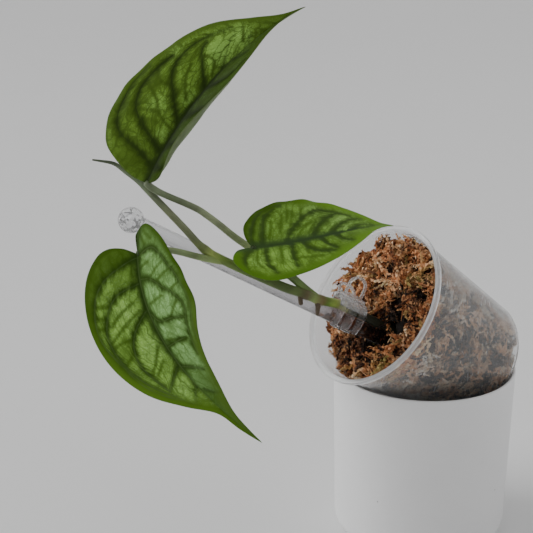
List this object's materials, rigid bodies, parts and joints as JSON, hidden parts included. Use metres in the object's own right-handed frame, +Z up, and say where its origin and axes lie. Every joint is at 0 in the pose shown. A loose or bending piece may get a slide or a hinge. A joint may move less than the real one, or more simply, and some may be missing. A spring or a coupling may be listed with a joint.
{
  "type": "potted silver monstera",
  "caption": "Young climbing silver-leaved monstera clipped to a clear stake in a moss-filled clear nursery pot, which lies tilted in the mouth of a round white cover pot",
  "frame": {"origin": "centre of the white cover pot's flat underside", "axes": "+Z up along the cover pot's axis, -Y towards the side seen in the picture, +X to the right in the picture; the stake and the leaves lean towards -X"},
  "size_m": [0.2506, 0.1823, 0.3321],
  "materials": {
    "cover_pot": "smooth satin white",
    "clear_pot": "clear, slightly frosted by scratches and damp",
    "moss": "matte, damp brown long-fibre moss",
    "bark": "matte, rough",
    "clear_plastic": "clear, polished",
    "spring_steel": "bright wire",
    "stem": "smooth satin green, brown and yellowish at the nodes",
    "leaf": "satin dark green veins and margin with silvery green patches between the veins"
  },
  "bodies": {
    "plant_and_pots": {"cover_pot": "cover_pot", "clear_pot": "clear_pot", "moss": "moss", "bark_chip": "bark", "stake": "clear_plastic", "vine_stem": "stem", "leaf_blade_a": "leaf", "leaf_blade_b": "leaf", "leaf_blade_c": "leaf", "clip_jaw_back": "clear_plastic", "clip_hinge_pin": "spring_steel", "clip_spring": "spring_steel"},
    "clip_jaw": {"clip_jaw_front": "clear_plastic"}
  },
  "joints": [
    {"name": "clip_hinge", "type": "hinge", "parent": "plant_and_pots", "child": "clip_jaw", "pos_m": [-0.04832, -0.02373, 0.15868], "axis": [-0.8383, -0.2178, 0.4998], "range_deg": [0, 35], "stiffness_Nm_per_rad": 0.004, "springref_deg": -28.65}
  ]
}
